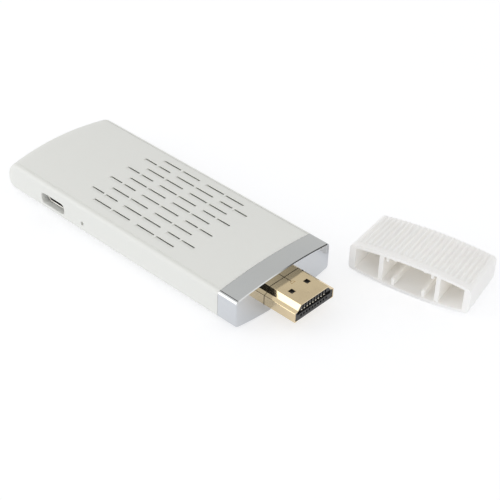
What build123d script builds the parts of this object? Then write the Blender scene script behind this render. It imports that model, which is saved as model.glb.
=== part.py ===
"""Wireless display dongle with its push-on plug cap, as separate pieces in one frame.

The body lies along X with its plug at the +X end, its micro socket on the -Y side and
+Z up. The origin is the middle of the flat that the body rests on. Millimetres.
"""
from build123d import *
from functools import cache
import math
import os

# Housing
body_length = 84.3
body_width = 33.2
side_height = 7.5
top_crown = 1.0
bottom_crown = 1.6
base_flat_depth = 0.15
rear_bow = 1.25
rear_top_round = 4.2
rear_bottom_round = 2.6
edge_round = 1.05
side_wall = 2.0
rear_wall = 2.0
skin = 1.5

# Lid in the top of the housing
lid_inset = 1.1
lid_gap = 0.06
lid_rim_height = 1.4
lid_step_width = 0.25
lid_step_depth = 0.08

# Lid snaps and the windows that take them
snap_length = 5.0
snap_thickness = 0.7
snap_drop = 1.5
snap_barb = 0.35
snap_barb_height = 0.5
snap_clearance = 0.06
snap_spacing = 27.0
snap_rows = 3

# Vent grille
grille_from_front = 39.5
grille_rows = 9
grille_pitch = 3.08
slot_width = 0.32
slot_offset = 0.5
slot_lean = 0.85
slot_pass = 0.35
slot_bridge = 0.65
scoop_width = 1.3
scoop_depth = 0.3
scoop_bulge = 0.055
long_slot = 13.1
short_slot = 9.4
slot_space = 2.4

# Chrome bezel and the spigot that it slides over
bezel_depth = 6.0
bezel_wall = 1.2
bezel_face = 1.4
bezel_seam = 0.08
bezel_front_edge = 0.2
spigot_thickness = 1.0
spigot_overlap = 2.0
spigot_clearance = 0.05
spigot_end_gap = 0.2
bezel_bump = 0.25
bezel_bump_length = 1.4
bezel_bump_height = 3.0

# Plug, wide side down
plug_reach = 9.7
plug_width = 13.9
plug_height = 4.45
plug_side_height = 2.75
plug_shoulder_inset = 1.0
plug_shoulder_height = 3.2
plug_top_width = 9.8
plug_bottom_z = 3.07
plug_sheet = 0.3
plug_corner = 0.25
plug_fit = 0.12
plug_inside_length = 6.2
plug_seam_width = 0.18
plug_seam_length = 2.2
latch_hole = 1.4
latch_hole_spacing = 5.4
latch_hole_from_tip = 4.85
dimple_radius = 0.35
dimple_from_tip = 2.2
dovetail_width = 1.5
dovetail_length = 0.8
dovetail_cut = 0.12
plug_ear_length = 3.2

# Plug insulator and contacts
insulator_gap = 0.03
insulator_recess = 0.12
insulator_lip = 0.35
insulator_lip_side = 1.0
contact_pitch = 1.0
upper_contacts = 9
lower_contacts = 10
contact_width = 0.4
contact_sheet = 0.15
contact_channel = 0.5
tongue_slot_width = 11.9
tongue_slot_depth = 7.6
tongue_slot_bottom_margin = 0.05
tongue_slot_top_margin = 0.2
comb_depth = 1.0
comb_height = 1.25
upper_tip_drop = 0.6
upper_tip_recess = 0.38
upper_bends = (1.3, 0.4)
upper_bend_drop = 0.1
lower_tip_rise = 0.25
lower_bends = (2.6, 1.5, 0.8, 0.1)
cavity_width = 0.56
cavity_height = 0.66
cavity_depth = 1.2
cavity_below_slot = 0.3
tail_on_board = 1.4

# Circuit board
board_thickness = 0.8
board_side_gap = 0.6
board_rear_gap = 2.6
board_front_gap = 2.3
board_corner = 1.5
board_z = 4.85
board_tongue_gap = 0.25
ear_slot_gap = 0.1
ear_slot_length = 3.4

# Posts, pins and screws that hold the board
post_radius = 2.0
post_from_rear = 6.6
post_from_bezel = 5.0
post_side_offset = 10.8
pin_radius = 0.75
pin_clearance = 0.08
pin_above_board = 0.8
screw_radius = 0.75
screw_hole_clearance = 0.15
screw_pilot_gap = 0.02
screw_length = 3.6
screw_head_radius = 1.4
screw_head_height = 0.8
screw_head_edge = 0.3
screw_recess_radius = 0.45
screw_recess_depth = 0.4
lid_post_radius = 1.7
lid_post_gap = 0.05

# Micro socket in the near side
socket_from_rear = 19.2
socket_width = 7.5
socket_height = 2.45
socket_depth = 5.2
socket_recess = 1.5
socket_sheet = 0.25
socket_flare = 0.12
socket_narrowing = 1.1
socket_chamfer_height = 1.0
socket_flange_width = 1.3
socket_flange_length = 2.4
tongue_width = 3.8
tongue_thickness = 0.6
tongue_below_roof = 0.45
tongue_recess = 0.6
socket_block_depth = 1.1
socket_contacts = 5
socket_contact_pitch = 0.65
socket_contact_width = 0.3
socket_contact_sheet = 0.12
socket_contact_setback = 0.35
socket_contact_rear_gap = 0.1
socket_channel_lead = 0.05
window_width = 8.7
window_height = 3.1
window_round = 1.1
window_above_board = 0.2
window_bevel = 0.15
socket_notch_gap = 0.15

# Reset switch behind its pinhole
pinhole_radius = 0.55
pinhole_from_rear = 30.55
switch_length = 4.7
switch_height = 1.8
switch_depth = 3.2
switch_wall_gap = 1.0
switch_cover_sheet = 0.15
switch_cover_setback = 0.2
switch_edge = 0.2
plunger_drop = 0.95
plunger_width = 1.7
plunger_height = 0.8
plunger_tip_gap = 0.3
plunger_travel = 0.25
plunger_clearance = 0.04
plunger_foot_depth = 0.5
plunger_foot_side = 0.35
plunger_guide_depth = 0.7
plunger_edge = 0.15
dome_rise = 0.35
dome_sheet = 0.1
dome_width = 2.2
dome_height = 1.0

# Chips on the board, as length, width and height
processor_size = (14.0, 14.0, 1.2)
processor_from_front = 34.0
memory_size = (13.3, 9.0, 1.0)
memory_side_offset = 6.4
memory_gap = 3.2
flash_size = (13.0, 11.5, 1.0)
power_chip_size = (6.0, 6.0, 0.85)
power_chip_offset = (16.2, 5.6)
inductor_size = (4.0, 4.0, 1.9)
inductor_offset = 16.2
inductor_rows = (-9.6, -4.9, -0.2)
crystal_size = (3.2, 2.5, 0.8)
crystal_offset = (10.2, -10.9)
led_size = (1.6, 0.8, 0.6)
led_offset = (5.0, 11.6)
capacitor_size = (1.6, 0.8, 0.8)
capacitor_columns = 7
capacitor_spacing = 2.3
capacitor_row = 8.6
resistor_size = (1.0, 0.5, 0.35)
resistor_columns = 8
resistor_spacing = 1.7
resistor_row = 9.6
chip_edge = 0.15

# Cooling of the processor
pad_thickness = 0.5
pad_margin = 0.5
spreader_size = (24.0, 19.0, 0.6)
spreader_groove = 0.25
spreader_grooves = 6
spreader_corner = 1.0

# Radio module and its aerial
radio_size = 12.0
radio_board_thickness = 0.8
radio_can_height = 1.2
radio_can_margin = 0.6
radio_can_sheet = 0.15
radio_can_edge = 0.3
radio_from_board_end = 16.0
radio_side_offset = 4.5
aerial_length = 15.0
aerial_height = 1.5
aerial_sheet = 0.25
aerial_width = 1.2
aerial_feed_offset = 3.0
aerial_from_board_end = 1.9

# Cap, in its taken-off place
cap_depth = 16.3
cap_shy = 0.35
cap_side_height = 7.15
cap_crown = 1.1
cap_taper = 0.5
cap_top_fall = 0.5
cap_back_edge = 0.45
cap_side_wall = 1.7
cap_skin = 0.85
cap_back_wall = 1.3
cap_mouth_edge = 0.15
cap_partition = 1.15
cap_plug_clearance = 0.12
cap_partition_recess = 0.3
cap_guide_width = 0.65
cap_guide_offset = 6.0
cap_guide_bottom = 7.4
cap_stub_width = 0.8
cap_stub_offset = 4.05
cap_stub_drop = 0.5
cap_rest_width = 0.8
cap_rest_offset = 4.1
cap_rest_gap = 0.05
cap_groove_margin = 1.0
cap_groove_pitch = 1.385
cap_groove_radius = 0.6
cap_groove_depth = 0.36
cap_groove_start = 2.3
cap_position = (61.62, 23.32)
cap_turn = 11.0

# Places worked out from the sizes
front_x = body_length / 2
rear_x = -body_length / 2
half_width = body_width / 2
bezel_rear_x = front_x - bezel_depth
side_bottom_z = bottom_crown - base_flat_depth
side_top_z = side_bottom_z + side_height
top_z = side_top_z + top_crown
top_arc_radius = (half_width ** 2 + top_crown ** 2) / (2 * top_crown)
bottom_arc_radius = (half_width ** 2 + bottom_crown ** 2) / (2 * bottom_crown)
bow_radius = (half_width ** 2 + rear_bow ** 2) / (2 * rear_bow)
bow_centre_x = rear_x + bow_radius
inner_half_width = half_width - side_wall
inner_top_z = top_z - skin
ledge_z = side_top_z - lid_rim_height
board_top_z = board_z + board_thickness
plug_top_z = plug_bottom_z + plug_height
plug_rear_x = front_x - plug_inside_length
plug_tip_x = front_x + plug_reach
grille_x = front_x - grille_from_front
socket_x = rear_x + socket_from_rear
pinhole_x = rear_x + pinhole_from_rear
plunger_z = board_z - plunger_drop
board_half_width = inner_half_width - board_side_gap
board_rear_x = rear_x + rear_wall + board_rear_gap
board_front_x = bezel_rear_x - board_front_gap
board_tongue_x = plug_rear_x - board_tongue_gap
rear_post_x = rear_x + post_from_rear
front_post_x = bezel_rear_x - post_from_bezel
screw_places = [(rear_post_x, post_side_offset), (front_post_x, -post_side_offset)]
pin_places = [(rear_post_x, -post_side_offset), (front_post_x, post_side_offset)]
processor_x = front_x - processor_from_front
radio_place = (board_rear_x + radio_from_board_end, radio_side_offset)
cap_grooves = 2 * math.floor((half_width - cap_shy - cap_groove_margin) / cap_groove_pitch)
reach = 4 * body_width


def span_box(x0, x1, y0, y1, z0, z1):
    """A box between two corners."""
    centre = Pos((x0 + x1) / 2, (y0 + y1) / 2, (z0 + z1) / 2)
    return centre * Box(abs(x1 - x0), abs(y1 - y0), abs(z1 - z0))


def crown_height(y):
    """Height of the housing's top surface at a distance y from the middle."""
    return top_z - top_arc_radius + math.sqrt(top_arc_radius ** 2 - y ** 2)


def crowned_outline(half, bottom_z, bottom_sag, side_z, top_sag):
    """Closed outline with straight sides and arched top and bottom."""
    return [
        Line((-half, bottom_z), (-half, side_z)),
        ThreePointArc((-half, side_z), (0, side_z + top_sag), (half, side_z)),
        Line((half, side_z), (half, bottom_z)),
        ThreePointArc((half, bottom_z), (0, bottom_z - bottom_sag), (-half, bottom_z)),
    ]


def bar_along_x(outline, x0, x1):
    """A bar of a YZ outline between two places on X."""
    return extrude(Plane.YZ.offset(x0) * make_face(outline), amount=x1 - x0)


def inset_outline(side_inset, skin_inset):
    """The housing's outline, drawn in by a side wall and by a floor and roof."""
    half = half_width - side_inset
    top_radius = top_arc_radius - skin_inset
    bottom_radius = bottom_arc_radius - skin_inset
    top_sag = top_radius - math.sqrt(top_radius ** 2 - half ** 2)
    bottom_sag = bottom_radius - math.sqrt(bottom_radius ** 2 - half ** 2)
    low = skin_inset - base_flat_depth + bottom_sag
    return crowned_outline(half, low, bottom_sag, top_z - skin_inset - top_sag, top_sag)


def bow_cylinder(inset):
    """The round end that bows the rear in plan."""
    return Pos(bow_centre_x, 0, 0) * Cylinder(bow_radius - inset, reach)


def rounded_end(form, top_round, bottom_round):
    """Round over the top and the bottom of a form's bowed rear end."""
    rear = form.faces().sort_by(Axis.X)[0]
    form = fillet(rear.edges().sort_by(Axis.Z)[-1], radius=top_round)
    rear = form.faces().sort_by(Axis.X)[0]
    return fillet(rear.edges().sort_by(Axis.Z)[0], radius=bottom_round)


def side_outline_edges(form, end_x):
    """Edges round the two flat sides of a form, without those at its open end."""
    sides = form.faces().filter_by(Axis.Y).sort_by(Axis.Y)
    edges = sides[0].edges() + sides[-1].edges()
    return [edge for edge in edges if edge.center().X < end_x - bezel_seam]


@cache
def outer_form():
    """The whole outside of body and bezel, with its resting flat."""
    form = bar_along_x(inset_outline(0, 0), rear_x - rear_bow, front_x) & bow_cylinder(0)
    form = rounded_end(form, rear_top_round, rear_bottom_round)
    form = fillet(side_outline_edges(form, front_x), radius=edge_round)
    return form & span_box(-reach, reach, -reach, reach, 0, reach)


def cavity_form(end_x):
    """The space inside lid and case."""
    form = bar_along_x(inset_outline(side_wall, skin), rear_x - rear_bow, end_x)
    form = form & bow_cylinder(rear_wall)
    return rounded_end(form, rear_top_round - rear_wall, rear_bottom_round / 2)


def lid_prism(gap):
    """Plan of the lid, from the ledge that it rests on upwards."""
    half = half_width - lid_inset - gap
    block = span_box(rear_x - rear_bow, bezel_rear_x, -half, half, ledge_z, reach)
    front = span_box(bezel_rear_x, front_x, -half, half, ledge_z, reach)
    return (block & bow_cylinder(lid_inset + gap)) + front


@cache
def spigot_ring():
    """Thin front collar of lid and case, which goes inside the bezel."""
    x0 = bezel_rear_x - spigot_overlap
    x1 = front_x - bezel_face - spigot_end_gap
    outside = bezel_wall + spigot_clearance
    inside = outside + spigot_thickness
    ring = bar_along_x(inset_outline(outside, outside), x0, x1)
    return ring - bar_along_x(inset_outline(inside, inside), x0, x1)


def grille_dashes():
    """Middle and length of each dash of the grille, row by row."""
    dashes = []
    for row in range(grille_rows):
        y = (row - (grille_rows - 1) / 2) * grille_pitch
        if row % 2 == 0:
            step = (long_slot + slot_space) / 2
            slots = [(-step, long_slot), (step, long_slot)]
        else:
            step = (long_slot + short_slot) / 2 + slot_space
            slots = [(-step, short_slot), (0, long_slot), (step, short_slot)]
        for middle, length in slots:
            dash = (length - slot_bridge) / 2
            for side in (-1, 1):
                dashes.append((grille_x + middle + side * (dash + slot_bridge) / 2, y, dash))
    return dashes


def snap_places():
    """Places along X of the lid's snaps."""
    middle = (rear_x + bezel_rear_x) / 2
    return [middle + (i - (snap_rows - 1) / 2) * snap_spacing for i in range(snap_rows)]


def top_cover():
    """The lid: crowned plate with grille, rim, snaps and posts."""
    shell = outer_form() & span_box(-reach, bezel_rear_x, -reach, reach, 0, reach)
    lid = (shell & lid_prism(lid_gap)) - cavity_form(front_x)
    edge_band = lid_prism(lid_gap) - lid_prism(lid_gap + lid_step_width)
    lid -= edge_band - Pos(0, 0, -lid_step_depth) * outer_form()
    lid += spigot_ring() & lid_prism(lid_gap)
    lid -= [grille_cutter(x, y, length) for x, y, length in grille_dashes()]
    for x in snap_places():
        for side in (-1, 1):
            lid += snap(x, side)
    for x, y in pin_places:
        post = Cylinder(lid_post_radius, inner_top_z + skin / 2 - board_top_z - lid_post_gap)
        socket = Cylinder(pin_radius + pin_clearance, 2 * pin_above_board)
        low = board_top_z + lid_post_gap
        lid += Pos(x, y, (low + inner_top_z + skin / 2) / 2) * post & outer_form()
        lid -= Pos(x, y, low) * socket
    return lid


def grille_cutter(x, y, length):
    """One dash of the grille: a scoop down the near side into a slit that leans under the far side."""
    near = y + slot_offset - slot_width / 2
    rim = near - scoop_width
    low = crown_height(near) - scoop_depth
    high = crown_height(rim)
    above = high + scoop_depth
    foot = crown_height(near) - skin - slot_pass
    scoop = ThreePointArc((rim, high), ((rim + near) / 2, (high + low) / 2 + scoop_bulge), (near, low))
    slit = Polyline(
        (near, low),
        (near + slot_lean * (low - foot), foot),
        (near + slot_lean * (low - foot) + slot_width, foot),
        (near + slot_lean * (low - above) + slot_width, above),
        (rim, above),
        (rim, high),
    )
    return bar_along_x([scoop, slit], x - length / 2, x + length / 2)


def snap(x, side):
    """One snap: a leaf inside the case wall with a barb at its foot."""
    outer = inner_half_width - snap_clearance
    top = ledge_z + lid_rim_height / 2
    foot = ledge_z - snap_drop
    half = snap_length / 2
    leaf = span_box(x - half, x + half, side * (outer - snap_thickness), side * outer, foot, top)
    barb = [
        (outer - snap_thickness / 2, foot),
        (outer, foot),
        (outer + snap_barb, foot + snap_barb_height),
        (outer - snap_thickness / 2, foot + snap_barb_height),
    ]
    wedge = Polyline([(side * y, z) for y, z in barb], close=True)
    return leaf + bar_along_x(wedge, x - half, x + half)


def snap_window(x, side):
    """The recess in the case wall that a snap's barb springs into."""
    half = snap_length / 2 + 2 * snap_clearance
    low = ledge_z - snap_drop - snap_clearance
    high = ledge_z - snap_drop + snap_barb_height + snap_clearance
    deep = inner_half_width + snap_barb + snap_clearance
    return span_box(x - half, x + half, side * (inner_half_width - side_wall), side * deep, low, high)


def socket_window():
    """The rounded window in the near side wall, with its bevelled mouth."""
    middle = Plane((socket_x, -half_width, socket_middle_z()), x_dir=(1, 0, 0), z_dir=(0, 1, 0))
    hole = RectangleRounded(window_width, window_height, window_round)
    cut = extrude(middle * hole, amount=side_wall + board_side_gap, both=True)
    wide = RectangleRounded(
        window_width + 2 * window_bevel, window_height + 2 * window_bevel, window_round + window_bevel
    )
    flare = loft([middle.offset(window_bevel) * hole, middle * wide])
    return cut + flare


def socket_middle_z():
    """Height of the middle of the window round the micro socket."""
    return board_top_z + window_above_board - window_height / 2


def bottom_case():
    """The tray: floor, walls, ledge, spigot, posts, pins and windows."""
    shell = outer_form() & span_box(-reach, bezel_rear_x, -reach, reach, 0, reach)
    case = shell - cavity_form(front_x) - lid_prism(0)
    lower = span_box(-reach, reach, -reach, reach, 0, ledge_z - lid_gap)
    case += spigot_ring() & lower
    for x, y in screw_places + pin_places:
        post = span_box(x - post_radius, x + post_radius, y - post_radius, y + post_radius, 0, board_z)
        column = Pos(x, y, board_z / 2) * Cylinder(post_radius, board_z)
        case += column & post & outer_form()
    for x, y in screw_places:
        depth = screw_length - board_thickness + screw_pilot_gap
        pilot = Cylinder(screw_radius + screw_pilot_gap, depth)
        case -= Pos(x, y, board_z - depth / 2) * pilot
    for x, y in pin_places:
        height = board_thickness + pin_above_board
        case += Pos(x, y, board_z + height / 2) * Cylinder(pin_radius, height)
    for x in snap_places():
        for side in (-1, 1):
            case -= snap_window(x, side)
    case -= socket_window()
    hole = Cylinder(pinhole_radius, 2 * side_wall, rotation=(90, 0, 0))
    case -= Pos(pinhole_x, side_wall - half_width, plunger_z) * hole
    for side in (-1, 1):
        case += bezel_catch(side, 0)
    return case


def bezel_catch(side, clearance):
    """The low bump on the spigot's side, or with a clearance the bezel's pocket for it."""
    root = half_width - bezel_wall - spigot_clearance
    x0 = bezel_rear_x + bezel_bump_length
    x1 = x0 + bezel_bump_length
    middle = (side_bottom_z + ledge_z) / 2
    half = bezel_bump_height / 2 + clearance
    inner = side * (root - spigot_thickness / 2)
    outer = side * (root + bezel_bump + clearance)
    return span_box(x0 - clearance, x1 + clearance, inner, outer, middle - half, middle + half)


def plug_face(inset):
    """Outline of the plug, wide side down, drawn in by an inset."""
    half = plug_width / 2
    points = [
        (half, 0),
        (half, plug_side_height),
        (half - plug_shoulder_inset, plug_shoulder_height),
        (plug_top_width / 2, plug_height),
    ]
    ring = points + [(-y, z) for y, z in reversed(points)]
    face = make_face(Polyline([(y, z + plug_bottom_z) for y, z in ring], close=True))
    face = fillet(face.vertices(), radius=plug_corner)
    if inset == 0:
        return face
    return offset(face, amount=-inset, kind=Kind.INTERSECTION)


def plug_bar(inset, x0, x1):
    """The plug's outline as a bar along X."""
    return extrude(Plane.YZ.offset(x0) * plug_face(inset), amount=x1 - x0)


def chrome_bezel():
    """The plated collar with the plug's opening in its front."""
    block = outer_form() & span_box(bezel_rear_x + bezel_seam, reach, -reach, reach, 0, reach)
    front = block.faces().sort_by(Axis.X)[-1]
    block = chamfer(front.edges(), bezel_front_edge)
    inside = bar_along_x(
        inset_outline(bezel_wall, bezel_wall), bezel_rear_x - 1, front_x - bezel_face
    )
    bezel = block - inside - plug_bar(-plug_fit, plug_rear_x, plug_tip_x)
    for side in (-1, 1):
        bezel -= bezel_catch(side, spigot_clearance)
    return bezel


def plug_shell():
    """The folded sheet round the plug, with latch holes, seam and solder ears."""
    shell = plug_bar(0, plug_rear_x, plug_tip_x)
    shell -= plug_bar(plug_sheet, plug_rear_x - 1, plug_tip_x + 1)
    hole_x = plug_tip_x - latch_hole_from_tip
    for side in (-1, 1):
        y = side * latch_hole_spacing / 2
        shell -= Pos(hole_x, y, (plug_bottom_z + plug_top_z) / 2) * Box(
            latch_hole, latch_hole, 2 * plug_height
        )
    seam_end = front_x + plug_seam_length
    half = plug_seam_width / 2
    shell -= span_box(plug_rear_x, seam_end, -half, half, plug_top_z - 2 * plug_sheet, plug_top_z + 1)
    shell -= dovetail(seam_end)
    dimple = Sphere(2 * dimple_radius)
    sink = math.sqrt(3) * dimple_radius
    shell -= Pos(plug_tip_x - dimple_from_tip, 0, plug_top_z + sink) * dimple
    shell -= plug_lip(0)
    for side in (-1, 1):
        y0 = side * (plug_width / 2 - plug_sheet)
        y1 = side * plug_width / 2
        x0 = plug_rear_x - plug_ear_length
        shell += span_box(x0, plug_rear_x + plug_ear_length, y0, y1, board_z, board_top_z)
    return shell


def plug_lip(clearance):
    """The insulator's lip over the front edge of the plug's lower sheet, drawn in by a clearance."""
    front = plug_tip_x - insulator_recess
    half = plug_width / 2 - insulator_lip_side - clearance
    rear = front - insulator_lip + clearance
    low = plug_bottom_z
    return span_box(rear, plug_tip_x, -half, half, low, low + plug_sheet + insulator_gap)


def dovetail(seam_end):
    """The locking tab's outline at the end of the seam, cut as a narrow groove."""
    half = dovetail_width / 2
    points = [
        (seam_end, half / 2),
        (seam_end + dovetail_length, half),
        (seam_end + dovetail_length, -half),
        (seam_end, -half / 2),
    ]
    tab = make_face(Polyline(points, close=True))
    groove = tab - offset(tab, amount=-dovetail_cut, kind=Kind.INTERSECTION)
    return extrude(Plane.XY.offset(plug_top_z - dovetail_cut) * groove, amount=1)


def contact_places(count):
    """Places across the plug of a row of contacts."""
    return [(i - (count - 1) / 2) * contact_pitch for i in range(count)]


def plug_insulator():
    """The moulded block in the plug, with tongue slot, comb and cavities."""
    front = plug_tip_x - insulator_recess
    body = plug_bar(plug_sheet + insulator_gap, plug_rear_x, front)
    body += plug_lip(insulator_gap) & span_box(-reach, front, -reach, reach, 0, reach)
    slot_low = board_z - tongue_slot_bottom_margin
    slot_high = board_top_z + tongue_slot_top_margin
    half = tongue_slot_width / 2
    body -= span_box(front - tongue_slot_depth, front + 1, -half, half, slot_low, slot_high)
    channel = contact_channel / 2
    for y in contact_places(upper_contacts):
        body -= span_box(
            plug_rear_x - 1, front + 1, y - channel, y + channel, slot_low, slot_high
        )
        body -= span_box(
            front - comb_depth, front + 1, y - channel, y + channel, slot_low, slot_high + comb_height
        )
    for y in contact_places(lower_contacts):
        low = board_z - contact_sheet - insulator_gap
        body -= span_box(plug_rear_x - 1, front - cavity_depth, y - channel, y + channel, low, slot_high)
        top = slot_low - cavity_below_slot
        wide = cavity_width / 2
        body -= span_box(front - cavity_depth, front + 1, y - wide, y + wide, top - cavity_height, top)
    hole_x = plug_tip_x - latch_hole_from_tip
    for side in (-1, 1):
        pocket = Box(latch_hole, latch_hole, 2 * plug_sheet)
        for z in (plug_bottom_z + plug_sheet, plug_top_z - plug_sheet):
            body -= Pos(hole_x, side * latch_hole_spacing / 2, z) * pocket
    return body


def bent_strip(points, y):
    """A contact: a bent strip of sheet along a line in the XZ plane."""
    section = trace(Polyline(points), contact_sheet)
    return extrude(Plane.XZ.offset(-y) * section, amount=contact_width / 2, both=True)


def plug_contacts_upper():
    """Nine contacts whose tips curl down into the tongue slot."""
    z = board_top_z + contact_sheet / 2
    front = plug_tip_x - insulator_recess
    tip = front - upper_tip_recess
    points = [
        (board_tongue_x - tail_on_board, z),
        (tip - upper_bends[0], z),
        (tip - upper_bends[1], z - upper_bend_drop),
        (tip, z - upper_tip_drop),
    ]
    return Compound(children=[bent_strip(points, y) for y in contact_places(upper_contacts)])


def plug_contacts_lower():
    """Ten contacts whose crowns rise into the tongue slot."""
    z = board_z - contact_sheet / 2
    tip = plug_tip_x - insulator_recess - cavity_depth - insulator_gap
    points = [
        (board_tongue_x - tail_on_board, z),
        (tip - lower_bends[0], z),
        (tip - lower_bends[1], z + lower_tip_rise),
        (tip - lower_bends[2], z + lower_tip_rise),
        (tip - lower_bends[3], z),
    ]
    return Compound(children=[bent_strip(points, y) for y in contact_places(lower_contacts)])


def circuit_board():
    """The board, with its plug tongue, ear slots, post holes and socket notch."""
    board = span_box(
        board_rear_x, board_front_x, -board_half_width, board_half_width, board_z, board_top_z
    )
    corners = board.edges().filter_by(Axis.Z).group_by(Axis.X)[0]
    board = fillet(corners, radius=board_corner)
    half = plug_width / 2 - plug_sheet - ear_slot_gap
    board += span_box(board_front_x - 1, board_tongue_x, -half, half, board_z, board_top_z)
    for side in (-1, 1):
        y0 = side * half
        y1 = side * (plug_width / 2 + ear_slot_gap)
        x0 = plug_rear_x - ear_slot_length
        board -= span_box(x0, plug_rear_x, y0, y1, board_z - 1, board_top_z + 1)
    for x, y in screw_places:
        board -= Pos(x, y, board_z) * Cylinder(screw_radius + screw_hole_clearance, 4 * board_thickness)
    for x, y in pin_places:
        board -= Pos(x, y, board_z) * Cylinder(pin_radius + pin_clearance, 4 * board_thickness)
    wide = socket_width / 2 + socket_notch_gap
    rear = socket_recess + socket_depth + socket_notch_gap - half_width
    board -= span_box(socket_x - wide, socket_x + wide, -half_width, rear, board_z - 1, board_top_z + 1)
    return board


def chip(size, x, y, z):
    """A chip package standing on a height, with its upper edges broken."""
    length, width, height = size
    body = Pos(x, y, z + height / 2) * Box(length, width, height)
    return chamfer(body.faces().sort_by(Axis.Z)[-1].edges(), chip_edge)


def hanging_chip(size, x, y):
    """A chip package under the board, with its lower edges broken."""
    length, width, height = size
    body = Pos(x, y, board_z - height / 2) * Box(length, width, height)
    return chamfer(body.faces().sort_by(Axis.Z)[0].edges(), chip_edge)


def memory_chips():
    """Two memory packages behind the processor."""
    x = processor_x - processor_size[0] / 2 - memory_gap - memory_size[0] / 2
    rows = (-memory_side_offset, memory_side_offset)
    return Compound(children=[chip(memory_size, x, y, board_top_z) for y in rows])


def power_inductors():
    """Three wound chokes in their square ferrite bodies."""
    x = processor_x + inductor_offset
    return Compound(children=[chip(inductor_size, x, y, board_top_z) for y in inductor_rows])


def ceramic_capacitors():
    """Two rows of capacitors beside the processor."""
    bodies = []
    for side in (-1, 1):
        for i in range(capacitor_columns):
            x = processor_x + (i - (capacitor_columns - 1) / 2) * capacitor_spacing
            place = Pos(x, side * capacitor_row, board_top_z + capacitor_size[2] / 2)
            bodies.append(place * Box(*capacitor_size))
    return Compound(children=bodies)


def chip_resistors():
    """A row of resistors on the underside, beside the flash chip."""
    bodies = []
    for i in range(resistor_columns):
        x = processor_x + (i - (resistor_columns - 1) / 2) * resistor_spacing
        place = Pos(x, resistor_row, board_z - resistor_size[2] / 2)
        bodies.append(place * Box(*resistor_size))
    return Compound(children=bodies)


def thermal_pad():
    """The soft pad between the processor and its heat spreader."""
    length = processor_size[0] - 2 * pad_margin
    z = board_top_z + processor_size[2] + pad_thickness / 2
    return Pos(processor_x, 0, z) * Box(length, length, pad_thickness)


def heat_spreader():
    """A grooved plate stuck on the pad."""
    length, width, height = spreader_size
    z = board_top_z + processor_size[2] + pad_thickness
    plate = Pos(processor_x, 0, z + height / 2) * Box(length, width, height)
    plate = fillet(plate.edges().filter_by(Axis.Z), radius=spreader_corner)
    for i in range(spreader_grooves):
        y = (i - (spreader_grooves - 1) / 2) * width / spreader_grooves
        half = spreader_groove
        x0 = processor_x - length / 2
        plate -= span_box(x0, x0 + length, y - half, y + half, z + height - spreader_groove, z + 1)
    return plate


def radio_module():
    """The radio's own small board, soldered under the main one."""
    x, y = radio_place
    z = board_z - radio_board_thickness / 2
    return Pos(x, y, z) * Box(radio_size, radio_size, radio_board_thickness)


def radio_shield():
    """The metal can over the radio."""
    x, y = radio_place
    size = radio_size - 2 * radio_can_margin
    top = board_z - radio_board_thickness
    can = Pos(x, y, top - radio_can_height / 2) * Box(size, size, radio_can_height)
    can = fillet(can.faces().sort_by(Axis.Z)[0].edges(), radius=radio_can_edge)
    inner = size - 2 * radio_can_sheet
    deep = radio_can_height - radio_can_sheet
    return can - Pos(x, y, top - deep / 2) * Box(inner, inner, deep)


def wifi_aerial():
    """A folded strip aerial along the board's rear end, on two feet."""
    x = board_rear_x + aerial_from_board_end
    top = board_top_z + aerial_height
    half = aerial_length / 2
    strip = span_box(x, x + aerial_width, -half, half, top - aerial_sheet, top)
    for y in (-half, -half + aerial_feed_offset):
        strip += span_box(x, x + aerial_width, y, y + aerial_sheet, board_top_z, top)
    strip += span_box(x, x + aerial_width, half - aerial_sheet, half, board_top_z, top)
    return strip


def board_screws():
    """Two pan-head screws that hold the board to its posts."""
    screws = []
    for x, y in screw_places:
        shank = Cylinder(screw_radius, screw_length)
        head = Cylinder(screw_head_radius, screw_head_height)
        head = fillet(head.faces().sort_by(Axis.Z)[-1].edges(), radius=screw_head_edge)
        screw = Pos(x, y, board_top_z - screw_length / 2) * shank
        screw += Pos(x, y, board_top_z + screw_head_height / 2) * head
        top = board_top_z + screw_head_height
        recess = extrude(RegularPolygon(screw_recess_radius, 6), amount=-screw_recess_depth)
        screws.append(screw - Pos(x, y, top) * recess)
    return Compound(children=screws)


def socket_outline(inset):
    """Outline of the micro socket in XZ, wide at the top."""
    half = socket_width / 2 - inset
    low = board_top_z - socket_height + inset
    high = board_top_z - inset
    knee = low + socket_chamfer_height
    points = [
        (half, high),
        (half, knee),
        (half - socket_narrowing, low),
        (socket_narrowing - half, low),
        (-half, knee),
        (-half, high),
    ]
    return make_face(Polyline([(x + socket_x, z) for x, z in points], close=True))


def along_y(face, y0, y1):
    """Extrude an XZ face between two places on Y."""
    return extrude(Plane.XZ.offset(-y0) * face, amount=y0 - y1)


def usb_shell():
    """The socket's folded sheet with its flared mouth, closed behind, and two solder flanges."""
    y0 = socket_recess - half_width
    y1 = y0 + socket_depth
    shell = along_y(socket_outline(0), y0, y1)
    shell -= along_y(socket_outline(socket_sheet), y0 - 1, y1 - socket_sheet)
    shell -= loft([
        Plane.XZ.offset(-y0) * socket_outline(socket_sheet - socket_flare),
        Plane.XZ.offset(-y0 - socket_flare) * socket_outline(socket_sheet),
    ], ruled=True)
    middle = (y0 + y1) / 2
    for side in (-1, 1):
        x0 = socket_x + side * (socket_width / 2 - socket_sheet)
        x1 = socket_x + side * (socket_width / 2 + socket_flange_width)
        low = middle - socket_flange_length / 2
        shell += span_box(x0, x1, low, low + socket_flange_length, board_z - socket_sheet, board_z)
    return shell


def tongue_top_z():
    """Height of the upper face of the socket's tongue."""
    return board_top_z - socket_sheet - tongue_below_roof


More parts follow.
